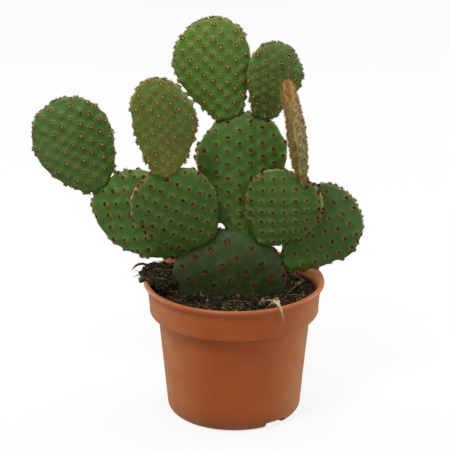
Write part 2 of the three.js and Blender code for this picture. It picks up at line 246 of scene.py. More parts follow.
# The dead root over the rim and the dried leaf stalk.
STRAND_ANGLE = math.radians(-61)
STRAND_RADIUS = 1.0
ROOTLETS = 11
LEAF_SIDE = 6
LEAF_RADIUS = 0.9


# ---- Numbers and meshes ------------------------------------------------------------------------

def srgb(red, green, blue):
    """A colour as seen on a screen, 0 to 255, as the linear colour that a shader takes."""
    linear = []
    for value in (red, green, blue):
        share = value / 255
        linear.append(share / 12.92 if share <= 0.04045 else ((share + 0.055) / 1.055) ** 2.4)
    return (*linear, 1)


def waves(points, wavelength, seed, count):
    """A smooth random field of about -1 to 1, from plane waves in random directions."""
    rng = np.random.default_rng(seed)
    total = np.zeros(len(points))
    for _ in range(count):
        direction = rng.normal(size=3)
        direction *= 2 * math.pi / (wavelength * rng.uniform(0.7, 1.5) * np.linalg.norm(direction))
        total += np.cos(points @ direction + rng.uniform(0, 2 * math.pi))
    return total / math.sqrt(count)


def uneven(points, layers, seed):
    """A sum of waves, one for each layer of height, wavelength and number of waves."""
    total = 0
    for index, (height, wavelength, count) in enumerate(layers):
        total = total + height * waves(points, wavelength, seed + index, count)
    return total


def smoothstep(value, low, high):
    share = np.clip((value - low) / (high - low), 0, 1)
    return share * share * (3 - 2 * share)


def linked(name, data):
    """A new object in the scene."""
    obj = bpy.data.objects.new(name, data)
    bpy.context.scene.collection.objects.link(obj)
    return obj


def piece_from(name, vertices, faces, materials=()):
    """A new object whose mesh is given in millimetres."""
    mesh = bpy.data.meshes.new(name)
    mesh.from_pydata((np.asarray(vertices) * MM).tolist(), [], faces)
    mesh.update()
    for material in materials:
        mesh.materials.append(material)
    return linked(name, mesh)


def shade_smooth(obj):
    obj.data.polygons.foreach_set("use_smooth", np.ones(len(obj.data.polygons), dtype=bool))


def surface(obj):
    """A mesh's points in millimetres and the directions that its skin faces there."""
    read = []
    for key in ("co", "normal"):
        flat = np.zeros(len(obj.data.vertices) * 3, np.float32)
        obj.data.vertices.foreach_get(key, flat)
        read.append(flat.reshape(-1, 3).astype(float))
    return read[0] / MM, read[1]


def place(obj, points):
    """Moves a mesh's points to places in millimetres."""
    obj.data.vertices.foreach_set("co", (points * MM).astype(np.float32).ravel())
    obj.data.update()


def attribute(obj, name, values, kind="FLOAT"):
    layer = obj.data.attributes.new(name, kind, "POINT")
    key = "vector" if kind == "FLOAT_VECTOR" else "value"
    layer.data.foreach_set(key, np.asarray(values, np.float32).ravel())


def made_plain(obj):
    """Turns what the modifiers make into the object's own mesh."""
    graph = bpy.context.evaluated_depsgraph_get()
    mesh = bpy.data.meshes.new_from_object(
        obj.evaluated_get(graph), preserve_all_data_layers=True, depsgraph=graph)
    obj.modifiers.clear()
    obj.data = mesh
    return obj


def closed_grid(rows, columns, first, poles, turned_over=False):
    """Faces over a grid that closes on itself along its columns and on a pole at each end."""
    faces = []
    for row in range(rows - 1):
        for column in range(columns):
            a = first + row * columns + column
            b = first + row * columns + (column + 1) % columns
            face = (a, b, b + columns, a + columns)
            faces.append(face[::-1] if turned_over else face)
    last = first + (rows - 1) * columns
    for column in range(columns):
        after = (column + 1) % columns
        near, far = (column, after) if turned_over else (after, column)
        faces.append((poles[0], first + near, first + far))
        faces.append((poles[1], last + far, last + near))
    return faces


def turned(name, profile, steps, material):
    """A closed solid of revolution. The profile runs from the axis out and back to the axis."""
    ring = profile[1:-1]
    angles = np.arange(steps) * 2 * math.pi / steps
    vertices = [(0, 0, profile[0][1]), (0, 0, profile[-1][1])]
    for radius, height in ring:
        for angle in angles:
            vertices.append((radius * math.cos(angle), radius * math.sin(angle), height))
    faces = closed_grid(len(ring), steps, 2, (0, 1))
    obj = piece_from(name, vertices, faces, [material])
    shade_smooth(obj)
    return obj


# ---- Node trees --------------------------------------------------------------------------------

class Tree:
    """Adds nodes to a node tree. A value is a number, a colour, or another node's output socket."""

    def __init__(self, tree):
        self.tree = tree

    def add(self, kind, values=None, **settings):
        node = self.tree.nodes.new(kind)
        for name, value in settings.items():
            setattr(node, name, value)
        for key, value in (values or {}).items():
            if isinstance(value, bpy.types.NodeSocket):
                self.tree.links.new(value, node.inputs[key])
            elif value is not None:
                node.inputs[key].default_value = value
        return node

    def maths(self, operation, first, second=0.0, third=0.0):
        node = self.add("ShaderNodeMath", {0: first, 1: second, 2: third}, operation=operation)
        return node.outputs[0]

    def vector(self, operation, first, second=None, scale=None):
        values = {0: first}
        if second is not None:
            values[1] = second
        if scale is not None:
            values["Scale"] = scale
        node = self.add("ShaderNodeVectorMath", values, operation=operation)
        return node.outputs["Value" if operation == "DOT_PRODUCT" else "Vector"]

    def times(self, first, second):
        return self.maths("MULTIPLY", first, second)


class Shader(Tree):
    """A material's nodes, on object coordinates or on the mesh's own attributes."""

    def __init__(self, name):
        self.material = bpy.data.materials.new(name)
        self.material.use_nodes = True
        super().__init__(self.material.node_tree)
        self.surface = self.tree.nodes["Principled BSDF"]
        self.coordinates = self.add("ShaderNodeTexCoord").outputs["Object"]

    def noise(self, size, detail=4.0, roughness=0.55):
        """A noise whose lumps are about `size` millimetres across."""
        values = {
            "Vector": self.coordinates, "Scale": 1 / (size * MM), "Detail": detail, "Roughness": roughness}
        return self.add("ShaderNodeTexNoise", values).outputs["Fac"]

    def cells(self, size):
        """The distance to the nearest of random points about `size` millimetres apart."""
        values = {"Vector": self.coordinates, "Scale": 1 / (size * MM)}
        return self.add("ShaderNodeTexVoronoi", values).outputs["Distance"]

    def own(self, name):
        """One of the mesh's own attributes."""
        node = self.add("ShaderNodeAttribute", attribute_name=name, attribute_type="GEOMETRY")
        return node.outputs["Fac"]

    def ranged(self, value, low, high, to_low=0.0, to_high=1.0):
        values = {0: value, 1: low, 2: high, 3: to_low, 4: to_high}
        return self.add("ShaderNodeMapRange", values, clamp=True).outputs[0]

    def mix(self, share, first, second):
        """Mixes two colours. Each is a socket, or a colour of 0 to 255."""
        shades = [srgb(*shade) if isinstance(shade, tuple) else shade for shade in (first, second)]
        values = {0: share, 6: shades[0], 7: shades[1]}
        return self.add("ShaderNodeMix", values, data_type="RGBA").outputs[2]

    def bump(self, height, distance, strength=1.0, under=None):
        values = {"Height": height, "Distance": distance * MM, "Strength": strength}
        if under is not None:
            values["Normal"] = under
        return self.add("ShaderNodeBump", values).outputs[0]

    def finish(self, colour, roughness, normal=None, **constants):
        """Links the surface's own colour, roughness and bump, and sets what is the same all over."""
        for key, value in {"Base Color": colour, "Roughness": roughness, "Normal": normal}.items():
            if isinstance(value, bpy.types.NodeSocket):
                self.tree.links.new(value, self.surface.inputs[key])
            elif value is not None:
                self.surface.inputs[key].default_value = value
        for key, value in constants.items():
            self.surface.inputs[key.replace("_", " ")].default_value = value
        return self.material


class Builder(Tree):
    """A Geometry Nodes tree with named inputs. It ends in Realize Instances and Set Material."""

    def __init__(self, name, inputs):
        super().__init__(bpy.data.node_groups.new(name, "GeometryNodeTree"))
        interface = self.tree.interface
        interface.new_socket("Geometry", in_out="INPUT", socket_type="NodeSocketGeometry")
        interface.new_socket("Geometry", in_out="OUTPUT", socket_type="NodeSocketGeometry")
        for label, kind, start in inputs:
            socket = interface.new_socket(label, in_out="INPUT", socket_type="NodeSocket" + kind)
            if start is not None:
                socket.default_value = start
        self.given = self.add("NodeGroupInput").outputs
        self.result = self.add("NodeGroupOutput")

    def attribute(self, name, kind="FLOAT"):
        node = self.add("GeometryNodeInputNamedAttribute", {"Name": name}, data_type=kind)
        return node.outputs["Attribute"]

    def random(self, low, high, seed, kind="FLOAT"):
        first, second, output = (0, 1, 0) if kind == "FLOAT_VECTOR" else (2, 3, 1)
        node = self.add("FunctionNodeRandomValue", {first: low, second: high, 8: seed}, data_type=kind)
        return node.outputs[output]

    def store(self, geometry, name, value, domain="POINT", kind="FLOAT"):
        values = {"Geometry": geometry, "Name": name, "Value": value}
        node = self.add("GeometryNodeStoreNamedAttribute", values, data_type=kind, domain=domain)
        return node.outputs[0]

    def xyz(self, x=0.0, y=0.0, z=0.0):
        return self.add("ShaderNodeCombineXYZ", {0: x, 1: y, 2: z}).outputs[0]

    def facing(self, direction):
        """The turn that brings a shape's +Z to a direction."""
        node = self.add("FunctionNodeAlignRotationToVector", {"Vector": direction}, axis="Z")
        return node.outputs[0]

    def anywhere(self, seed):
        """A random vector in a cube from -1 to 1."""
        return self.random((-1, -1, -1), (1, 1, 1), seed, "FLOAT_VECTOR")

    def shifted(self, geometry, offset):
        values = {"Geometry": geometry, "Offset": offset}
        return self.add("GeometryNodeSetPosition", values).outputs[0]

    def scattered(self):
        """Points on the given mesh, kept apart, and as many as its `share` allows."""
        given = self.given
        node = self.add("GeometryNodeDistributePointsOnFaces", {
            "Mesh": given["Geometry"], "Distance Min": given["Spacing"],
            "Density Max": given["Per square metre"], "Density Factor": self.attribute("share"),
            "Seed": given["Seed"]}, distribute_method="POISSON")
        return node.outputs["Points"]

    def push(self, fineness, detail, amount):
        """An offset that a noise makes uneven."""
        noise = self.add("ShaderNodeTexNoise", {"Scale": fineness, "Detail": detail}).outputs["Color"]
        return self.vector("SCALE", self.vector("SUBTRACT", noise, (0.5, 0.5, 0.5)), scale=amount)

    def instances(self, points, shape, rotation=None, scale=None):
        values = {"Points": points, "Instance": shape, "Rotation": rotation, "Scale": scale}
        return self.add("GeometryNodeInstanceOnPoints", values).outputs[0]

    def coated(self, geometry, material):
        real = self.add("GeometryNodeRealizeInstances", {"Geometry": geometry}).outputs[0]
        return self.add("GeometryNodeSetMaterial", {"Geometry": real, "Material": material}).outputs[0]

    def joined(self, *geometries):
        node = self.add("GeometryNodeJoinGeometry")
        for geometry in geometries:
            self.tree.links.new(geometry, node.inputs[0])
        return node.outputs[0]

    def end(self, geometry):
        self.tree.links.new(geometry, self.result.inputs[0])
        return self.tree


def grow(obj, tree, **values):
    """Runs a tree on an object and keeps what it makes as a plain mesh."""
    modifier = obj.modifiers.new(tree.name, "NODES")
    modifier.node_group = tree
    labels = {label.replace("_", " "): value for label, value in values.items()}
    for item in tree.interface.items_tree:
        if item.item_type == "SOCKET" and item.in_out == "INPUT" and item.name in labels:
            modifier[item.identifier] = labels[item.name]
    return made_plain(obj)


# ---- Skins -------------------------------------------------------------------------------------

# Colours run from a pad's foot to its tip, and the foot colour is also painted as shade in the hollows
# between the areoles' swellings. `halo` rings each areole and tints the mottling, whose strength is
# `mottled`. `bloom` is the wax on the skin and `wax` how much of it there is. `margin` is the worn edge,
# which starts where the side faces the edge by `margin_from`, 1 being the very edge.
SKINS = {
    "old": dict(
        foot=(38, 56, 28), middle=(50, 76, 34), tip=(88, 120, 54), halo=(118, 88, 48),
        margin=(104, 98, 56), bloom=(112, 128, 84), wax=0.08, mottled=0.5),
    "middle": dict(
        foot=(80, 126, 46), middle=(87, 130, 48), tip=(92, 137, 54), halo=(142, 152, 80),
        margin=(186, 158, 96), bloom=(132, 156, 108), wax=0.07),
    "deep": dict(
        foot=(80, 124, 48), middle=(78, 114, 48), tip=(76, 112, 50), halo=(126, 136, 74),
        margin=(186, 158, 96), bloom=(118, 140, 96), wax=0.07),
    "fresh": dict(
        foot=(90, 138, 50), middle=(95, 140, 50), tip=(112, 152, 48), halo=(152, 168, 82),
        margin=(176, 156, 80), bloom=(146, 166, 104), wax=0.07),
    "young": dict(
        foot=(136, 146, 48), middle=(92, 142, 54), tip=(102, 138, 52), halo=(156, 158, 82),
        margin=(172, 150, 80), bloom=(140, 154, 104), wax=0.06),
    "corky": dict(
        foot=(78, 118, 48), middle=(112, 134, 66), tip=(190, 140, 70), halo=(168, 134, 70),
        margin=(208, 190, 122), bloom=(150, 160, 112), wax=0.05, margin_from=0.95),
}

# Colours of the glochids at their roots and tips, and of the felt that they stand in. `hollow` is the
# share of the tuft's radius that is left bare in the middle, and `upward` moves the glochids tipwards.
# `reach` is how far out they stand and `height` how high the felt is, in felt radii.
TUFTS = {
    "rust": dict(
        root=(36, 16, 8), tip=(112, 54, 24), felt=(190, 112, 56), count=70, length=0.75,
        hollow=0.0, upward=0.4, reach=0.95, height=0.3),
    "dark": dict(
        root=(66, 28, 14), tip=(142, 74, 36), felt=(222, 164, 96), count=54, length=1.3,
        hollow=0.0, upward=0.6, reach=0.75, height=0.55),
    "tan": dict(
        root=(74, 32, 10), tip=(172, 98, 40), felt=(226, 184, 102), count=64, length=1.25,
        hollow=0.62, upward=0.2, reach=1.1, height=0.45),
    "pale": dict(
        root=(128, 60, 20), tip=(214, 140, 64), felt=(238, 200, 124), count=58, length=1.35,
        hollow=0.5, upward=0.25, reach=1.1, height=0.45),
    "amber": dict(
        root=(160, 96, 34), tip=(232, 184, 100), felt=(232, 204, 130), count=44, length=1.5,
        hollow=0.1, upward=0.3, reach=0.8, height=0.55),
}
CORK = (222, 184, 118)


def skin_material(name, skin):
    s = Shader(name)
    along, near, edge, cork = s.own("along"), s.own("near"), s.own("edge"), s.own("cork")
    blotch = s.noise(9, 3)
    grain = s.noise(1.6, 5, 0.65)
    place = s.maths("ADD", along, s.ranged(blotch, 0.3, 0.7, -0.12, 0.12))
    lower = s.mix(s.ranged(place, 0.02, 0.5), skin["foot"], skin["middle"])
    colour = s.mix(s.ranged(place, 0.45, 1.0), lower, skin["tip"])
    colour = s.mix(s.ranged(blotch, 0.42, 0.66, 0.0, 0.35), colour, skin["foot"])
    tan = s.ranged(s.noise(4.5, 5, 0.7), 0.5, 0.68, 0.0, skin.get("mottled", 0.3))
    colour = s.mix(tan, colour, skin["halo"])
    waxy = s.times(s.ranged(s.noise(24, 4), 0.45, 0.7), skin["wax"] * 3)
    colour = s.mix(waxy, colour, skin["bloom"])
    specks = s.ranged(s.cells(0.75), 0.22, 0.1, 0.0, 0.34)
    colour = s.mix(specks, colour, skin["bloom"])
    # Painted shade: the skin darkens towards its foot colour in the hollows between the areoles' swellings,
    # furthest from every areole.
    colour = s.mix(s.ranged(near, 2.0, 4.4, 0.0, 0.34), colour, skin["foot"])
    halo = s.times(s.ranged(near, 3.0, 1.3), s.ranged(grain, 0.3, 0.6, 0.3, 0.8))
    colour = s.mix(halo, colour, skin["halo"])
    worn = s.ranged(s.noise(11, 4, 0.65), 0.46, 0.6, 0.0, 0.85)
    margin_from = skin.get("margin_from", 0.982)
    margin = s.times(s.ranged(edge, margin_from, 0.996), worn)
    colour = s.mix(margin, colour, skin["margin"])
    scab = s.ranged(s.maths("ADD", cork, s.ranged(s.noise(2.4, 5, 0.7), 0.3, 0.7, -0.5, 0.5)), 0.42, 0.62)
    bark = s.mix(s.ranged(grain, 0.3, 0.55), (136, 98, 52), CORK)
    colour = s.mix(scab, colour, bark)
    fine = s.bump(grain, 0.12, 0.6)
    pores = s.bump(s.ranged(s.cells(0.75), 0.1, 0.3), 0.05, 0.4, fine)
    crust = s.bump(s.times(scab, s.noise(0.9, 5, 0.7)), 0.5, 0.8, pores)
    rough = s.maths("ADD", s.ranged(scab, 0, 1, 0.46, 0.86), s.ranged(grain, 0.3, 0.7, -0.06, 0.08))
    return s.finish(
        colour, rough, crust, Specular_IOR_Level=0.3, Subsurface_Weight=0.04, Subsurface_Scale=0.003)


def bristle_material(name, tuft):
    s = Shader(name)
    shade = s.own("shade")
    colour = s.mix(s.ranged(s.own("tip"), 0.15, 0.9), tuft["root"], tuft["tip"])
    darker = s.mix(0.55, colour, tuft["root"])
    colour = s.mix(shade, darker, colour)
    return s.finish(colour, 0.55, Specular_IOR_Level=0.35)


def felt_material(name, tuft):
    s = Shader(name)
    wool = s.noise(0.35, 3, 0.7)
    colour = s.mix(s.ranged(wool, 0.35, 0.65), tuft["root"], tuft["felt"])
    colour = s.mix(s.ranged(s.own("shade"), 0, 1, 0, 0.5), colour, tuft["felt"])
    return s.finish(colour, 0.95, s.bump(wool, 0.3), Specular_IOR_Level=0.1)


# ---- Pads --------------------------------------------------------------------------------------

def half_sizes(pad, along):
    """Half the pad's width and thickness at a share of its length."""
    past = np.clip((along - pad["widest"]) / (1 - pad["widest"]), 0, 1)
    before = np.clip((pad["widest"] - along) / pad["widest"], 0, 1)
    closing = np.sqrt(1 - (1 - np.minimum(along / FOOT_CLOSING, 1)) ** 2)
    wide = np.where(
        past > 0, np.sqrt(1 - past ** 2), 1 - (1 - pad["neck"]) * before ** pad["taper"])
    fullness = pad.get("tip_fullness", TIP_FULLNESS)
    thick = np.where(past > 0, np.sqrt(1 - past ** fullness), 1 - FOOT_THINNING * before ** 2)
    return wide * closing * pad["width"] / 2, thick * closing * pad["thickness"] / 2


def pad_skin(pad, along, around):
    """Points on a pad's skin, in its own frame: length along +Z, width along X, front -Y."""
    along, around = np.broadcast_arrays(np.asarray(along, float), np.asarray(around, float))
    half_width, half_thickness = half_sizes(pad, along)
    x = half_width * np.cos(around) + pad.get("sweep", 0) * along ** 2
    y = -half_thickness * np.sin(around) - pad.get("bow", 0) * along ** 2
    return np.stack([x, y, along * pad["length"]], axis=-1)


def moved(points, pose):
    matrix = np.array(pose)
    return points @ matrix[:3, :3].T + matrix[:3, 3]


def pad_poses():
    """Each pad's matrix from its own frame to the plant's, in millimetres."""
    poses = {}
    for name, pad in PADS.items():
        turns = (
            Matrix.Rotation(math.radians(pad["lean"]), 4, "Y")
            @ Matrix.Rotation(math.radians(pad.get("pitch", 0)), 4, "X")
            @ Matrix.Rotation(math.radians(pad.get("turn", 0)), 4, "Z"))
        root = Vector((BASE_ASIDE, 0, SOIL_LEVEL - BURIED))
        if "on" in pad:
            parent, along, around, sink = pad["on"]
            seat = moved(pad_skin(PADS[parent], along, math.radians(around)), poses[parent])
            root = Vector(seat) - turns.to_3x3() @ Vector((0, 0, sink))
        poses[name] = Matrix.Translation(root) @ turns
    return poses


POSES = pad_poses()


def inside_pad(name, points, spare):
    """Which points lie within a pad that is grown by `spare` millimetres."""
    pad = PADS[name]
    local = moved(points, POSES[name].inverted())
    along = np.clip(local[:, 2] / pad["length"], 0, 1)
    half_width, half_thickness = half_sizes(pad, along)
    x = (local[:, 0] - pad.get("sweep", 0) * along ** 2) / (half_width + spare)
    y = (local[:, 1] + pad.get("bow", 0) * along ** 2) / (half_thickness + spare)
    off_ends = np.maximum(-local[:, 2], local[:, 2] - pad["length"])
    return (x ** 2 + y ** 2 < 1) & (off_ends < spare)


def even(run, values, pitch):
    """Values at equal steps of about `pitch` along a run of lengths, ends included."""
    return np.interp(np.linspace(0, run[-1], int(run[-1] / pitch) + 1), run, values)


def run_of(points):
    return np.concatenate([[0], np.cumsum(np.linalg.norm(np.diff(points, axis=0), axis=1))])


def rim_sites(pad, pitch, crowd, rng):
    """Areoles in a ragged row round the pad's edge, as shares of its length and angles round it."""
    fine = (1 - np.cos(np.linspace(0.25, math.pi, 900))) / 2
    right = pad_skin(pad, fine, 0)
    outline = np.concatenate([right, pad_skin(pad, fine, math.pi)[::-1]])
    shares = np.concatenate([fine, fine[::-1]])
    steps = np.linalg.norm(np.diff(outline, axis=0), axis=1)
    steps *= 1 + crowd * smoothstep((shares[:-1] + shares[1:]) / 2, CROWD_FROM, CROWD_FULL)
    run = np.concatenate([[0], np.cumsum(steps)])
    count = int(run[-1] / pitch)
    stops = (np.arange(count) + 0.5 + rng.uniform(-RIM_STRAY, RIM_STRAY, count)) * run[-1] / count
    along = np.interp(stops, run, shares)
    around = np.where(stops < run[len(fine)], 0, math.pi) + rng.uniform(-RIM_ROUND, RIM_ROUND, count)
    return along, around


def face_sites(pad, steps, back, rng):
    """Areoles in two sets of crossing rows over one face."""
    reach = np.arange(-30, 31)
    first, second = np.meshgrid(reach, reach)
    places = (
        first.reshape(-1, 1) * np.array(steps[0]) + second.reshape(-1, 1) * np.array(steps[1])
        + rng.uniform(-FACE_STRAY, FACE_STRAY, (first.size, 2)))
    across, up = places[:, 0], places[:, 1] + FACE_CENTRE * pad["length"]
    if back:
        across, up = -across, up + steps[1][1] / 2
    along = up / pad["length"]
    half_width, _ = half_sizes(pad, np.clip(along, 0, 1))
    cosine = (across - pad.get("sweep", 0) * along ** 2) / np.maximum(half_width, 0.1)
    kept = (along > 0.05) & (along < 0.99) & (np.abs(cosine) < 0.95)
    around = np.arccos(cosine[kept])
    return along[kept], -around if back else around


def spacing_of(look):
    """The distance from an areole to the nearest others on a pad's face."""
    return min(math.hypot(*step) for step in look["steps"])


def areole_sites(name):
    """The areoles' places on a pad, with those under the soil or under another pad left out."""
    pad, look = PADS[name], AREOLES[name]
    rng = np.random.default_rng(100 + list(PADS).index(name))
    along, around = rim_sites(pad, look["rim"], look.get("crowd", 0), rng)
    rim = moved(pad_skin(pad, along, around), POSES[name])
    sites = [rim]
    for back in (False, True):
        face = moved(pad_skin(pad, *face_sites(pad, look["steps"], back, rng)), POSES[name])
        apart = np.linalg.norm(face[:, None] - rim[None], axis=2).min(axis=1)
        sites.append(face[apart > 0.5 * min(spacing_of(look), look["rim"] * 1.3)])
    points = np.concatenate(sites)
    free = points[:, 2] > SOIL_LEVEL + SITES_ABOVE_SOIL
    for other in PADS:
        if other != name:
            free &= ~inside_pad(other, points, SITES_OFF_PADS)
    return points[free]


def pad_mesh(name):
    """The pad as an even closed grid, with the shares and angles that its points were made from."""
    pad = PADS[name]
    fine = (1 - np.cos(np.linspace(0, math.pi, 2400))) / 2
    rows = even(run_of(pad_skin(pad, fine, 0)), fine, SKIN_PITCH)[1:-1]
    angles = np.linspace(2 * math.pi, 0, 2400)
    columns = even(run_of(pad_skin(pad, pad["widest"], angles)), angles, SKIN_PITCH)[:-1]
    along = np.concatenate([[0, 1], np.repeat(rows, len(columns))])
    around = np.concatenate([[0, 0], np.tile(columns, len(rows))])
    points = moved(pad_skin(pad, along, around), POSES[name])
    faces = closed_grid(len(rows), len(columns), 2, (0, 1))
    obj = piece_from(name + "_skin", points, faces)
    shade_smooth(obj)
    return obj, along, around


def distances(points, sites):
    """The distance of every point to every site, in blocks to spare memory."""
    blocks = []
    for start in range(0, len(points), 4000):
        block = points[start:start + 4000]
        blocks.append(np.linalg.norm(block[:, None] - sites[None], axis=2).astype(np.float32))
    return np.concatenate(blocks)


def make_pad(name, skin):
    """One pad's skin. It swells under each areole and is creased at the neck and scarred in places."""
    pad, look = PADS[name], AREOLES[name]
    obj, along, around = pad_mesh(name)
    points, outward = surface(obj)
    sites = areole_sites(name)
    apart = distances(points, sites)
    near = apart.min(axis=1)
    swell = np.exp(-(apart / (SWELL_REACH * spacing_of(look))) ** 2).sum(axis=1)
    lift = SWELL * look["rise"] * (np.minimum(swell, SWELL_LIMIT) - SWELL_FLOOR)
    lift -= DIMPLE * np.exp(-(near / (DIMPLE_REACH * look["size"])) ** 2)
    seed = 10 * list(PADS).index(name)
    lift += uneven(points, PAD_WAVES, seed)
    lift += uneven(points, GRAIN_WAVES, seed + 2)
    neck = 1 - smoothstep(along, 0.03, 0.16)
    wrinkles = waves(points * np.array([1, 1, 0.35]), 3.2, seed + 3, 20)
    lift += neck * (NECK_CREASES * wrinkles - NECK_SINK)
    cork = np.zeros(len(points))
    for share, angle, radius in look.get("cork", []):
        centre = moved(pad_skin(pad, share, math.radians(angle)), POSES[name])
        away = np.linalg.norm(points - centre, axis=1)
        cork = np.maximum(cork, 1 - smoothstep(away, 0.4 * radius, radius))
    lift += cork * (SCAR_CREASES * waves(points, 1.9, seed + 4, 24) - SCAR_SINK)
    lift *= smoothstep(along, 0.0, 0.02) * 0.999
    place(obj, points + outward * lift[:, None])
    attribute(obj, "along", along)
    attribute(obj, "near", near)
    attribute(obj, "edge", np.abs(np.cos(around)) * (along > 0) + (along >= 1))
    attribute(obj, "cork", cork)
    obj.data.materials.append(skin)
    points, outward = surface(obj)
    nearest = apart.argmin(axis=0)
    return obj, points[nearest], outward[nearest]


# ---- Areoles -----------------------------------------------------------------------------------

def tuft_tree():
    """Each point grows a cushion of felt and a tuft of three-sided glochids that fan out of it."""
    b = Builder("areole_tufts", [
        ("Glochids", "Int", 40), ("Length", "Float", 0.0015), ("Thickness", "Float", 0.00012),
        ("Spread", "Float", 0.9), ("Hollow", "Float", 0.0), ("Upward", "Float", 0.3),
        ("Reach", "Float", 0.7), ("Felt radius", "Float", 0.001), ("Felt height", "Float", 0.0005),
        ("Glochid skin", "Material", None), ("Felt skin", "Material", None), ("Seed", "Int", 1)])
    g = b.given
    points = b.add("GeometryNodeMeshToPoints", {"Mesh": g["Geometry"], "Radius": 0.0001}).outputs[0]
    aim, size = b.attribute("aim", "FLOAT_VECTOR"), b.attribute("size")
    tipwards = b.attribute("tipwards", "FLOAT_VECTOR")
    across = b.times(size, g["Felt radius"])

    # The felt sinks to the areole's lower side, away from the glochids.
    ball = b.add("GeometryNodeMeshUVSphere", {"Segments": 7, "Rings": 5, "Radius": 1.0}).outputs[0]
    shape = b.xyz(across, across, b.times(size, g["Felt height"]))
    sunk = b.vector("SCALE", tipwards, scale=b.times(across, b.times(g["Upward"], -0.5)))
    cushions = b.coated(b.instances(b.shifted(points, sunk), ball, b.facing(aim), shape), g["Felt skin"])
    smooth = b.add("GeometryNodeSetShadeSmooth", {"Geometry": cushions}).outputs[0]

    # The glochids' roots lie between the hollow and the tuft's edge, in the plane across `aim`.
    many = b.add(
        "GeometryNodeDuplicateElements", {"Geometry": points, "Amount": g["Glochids"]}, domain="POINT")
    thrown = b.anywhere(g["Seed"])
    upward = b.vector("SCALE", aim, scale=b.vector("DOT_PRODUCT", thrown, aim))
    flat = b.vector("NORMALIZE", b.vector("SUBTRACT", thrown, upward))
    share = b.maths("POWER", b.random(0, 1, 21), 0.6)
    inner = b.maths("SUBTRACT", 1.0, g["Hollow"])
    aside = b.vector("SCALE", flat, scale=b.maths("MULTIPLY_ADD", share, inner, g["Hollow"]))
    lifted = b.vector("ADD", aside, b.vector("SCALE", tipwards, scale=g["Upward"]))
    roots = b.shifted(many.outputs[0], b.vector("SCALE", lifted, scale=b.times(across, g["Reach"])))

    # They fan out from there, each a little off the even fan.
    fanned = b.vector("ADD", aim, b.vector("SCALE", aside, scale=g["Spread"]))
    stray = b.vector("SCALE", b.anywhere(b.maths("ADD", g["Seed"], 7)), scale=0.22)
    heading = b.facing(b.vector("ADD", fanned, stray))
    cone = b.add("GeometryNodeMeshCone", {
        "Vertices": 3, "Radius Bottom": 1.0, "Radius Top": 0.0, "Depth": 1.0}, fill_type="TRIANGLE_FAN")
    height = b.add("ShaderNodeSeparateXYZ", {0: b.add("GeometryNodeInputPosition").outputs[0]}).outputs[2]
    spine = b.store(cone.outputs["Mesh"], "tip", height)
    long = b.times(b.times(size, g["Length"]), b.random(0.55, 1.1, 3))
    thick = b.times(size, g["Thickness"])
    glochids = b.instances(roots, spine, heading, b.xyz(thick, thick, long))
    return b.end(b.joined(smooth, b.coated(glochids, g["Glochid skin"])))


def make_tufts(name, tree, sites, outward, skins):
    """The areoles of one pad. They lean towards the pad's tip."""
    look = AREOLES[name]
    tuft = TUFTS[look["kind"]]
    rng = np.random.default_rng(300 + list(PADS).index(name))
    up = np.array(POSES[name])[:3, 2]
    aim = outward + AREOLE_LEAN * up + rng.normal(0, AREOLE_STRAY, outward.shape)
    aim /= np.linalg.norm(aim, axis=1)[:, None]
    tipwards = up - outward * (outward @ up)[:, None]
    obj = piece_from(name + "_areoles", sites - outward * 0.1, [])
    attribute(obj, "aim", aim, "FLOAT_VECTOR")
    attribute(obj, "tipwards", tipwards, "FLOAT_VECTOR")
    attribute(obj, "size", look["size"] * rng.uniform(0.78, 1.15, len(sites)))
    attribute(obj, "shade", rng.uniform(0, 1, len(sites)))
    return grow(
        obj, tree, Glochids=tuft["count"], Length=tuft["length"] * MM, Thickness=GLOCHID_THICKNESS * MM,
        Spread=GLOCHID_SPREAD, Hollow=tuft["hollow"], Upward=tuft["upward"], Reach=tuft["reach"],
        Felt_radius=FELT_RADIUS * MM, Felt_height=tuft["height"] * MM,
        Glochid_skin=skins[0], Felt_skin=skins[1], Seed=11 + list(PADS).index(name))


def make_plant():
    skins = {kind: skin_material(kind + " pad skin", skin) for kind, skin in SKINS.items()}
    hairs = {}
    for kind, tuft in TUFTS.items():
        hairs[kind] = (bristle_material(kind + " glochids", tuft), felt_material(kind + " felt", tuft))
    tree = tuft_tree()
    for name in PADS:
        look = AREOLES[name]
        pad, sites, outward = make_pad(name, skins[look["skin"]])
        tufts = make_tufts(name, tree, sites, outward, hairs[look["kind"]])
        for piece in (pad, tufts):
            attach(piece, "root")
        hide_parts(name)


# ---- Pot ---------------------------------------------------------------------------------------

def arc(radius, height, round_, start, end, steps):
    """Points of a profile round a centre, from one angle to another."""
    points = []
    for step in range(steps + 1):
        angle = math.radians(start + (end - start) * step / steps)
        points.append((radius + round_ * math.cos(angle), height + round_ * math.sin(angle)))
    return points


